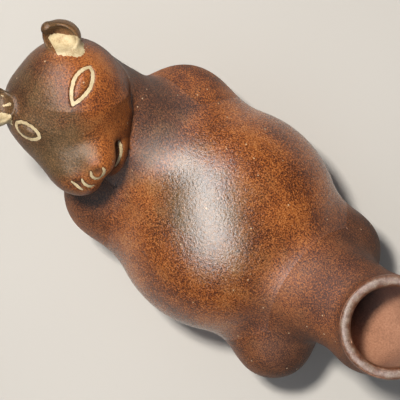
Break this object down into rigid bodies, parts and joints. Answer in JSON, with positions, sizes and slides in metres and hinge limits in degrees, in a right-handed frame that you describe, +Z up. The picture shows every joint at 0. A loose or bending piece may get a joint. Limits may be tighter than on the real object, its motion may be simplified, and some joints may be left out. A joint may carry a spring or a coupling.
{
  "type": "askos vessel",
  "caption": "Animal-shaped earthenware pouring vessel: globular body on bulbous legs, head turned back over one shoulder, and an upright round spout at the rump.",
  "frame": {"origin": "middle of the part's bounding box on the ground plane that its feet stand on", "axes": "+Z up; X along the body, head end at -X and spout end at +X; the animal's own left legs at -Y"},
  "size_m": [0.283, 0.136, 0.167],
  "materials": {
    "burnished_slip": "burnished red-brown slip with dark mineral speckle",
    "smoked_slip": "burnished slip, smoked darker in the firing",
    "worn_lip": "slip worn pale and matte",
    "cream_slip": "matte cream slip rubbed into cut lines"
  },
  "bodies": {
    "root": {"belly_bowl": "burnished_slip", "back_dome": "burnished_slip", "leg_front_left": "burnished_slip", "leg_front_right": "burnished_slip", "leg_rear_left": "burnished_slip", "leg_rear_right": "burnished_slip", "neck": "burnished_slip", "spout_tube": "burnished_slip", "head": "smoked_slip", "lower_jaw": "smoked_slip", "ear_left": "smoked_slip", "ear_right": "smoked_slip", "spout_lip": "worn_lip", "eye_line_left": "cream_slip", "eye_line_right": "cream_slip", "nostril_line_left": "cream_slip", "nostril_line_right": "cream_slip", "lip_line": "cream_slip", "ear_lining_left": "cream_slip", "ear_lining_right": "cream_slip"}
  },
  "joints": []
}
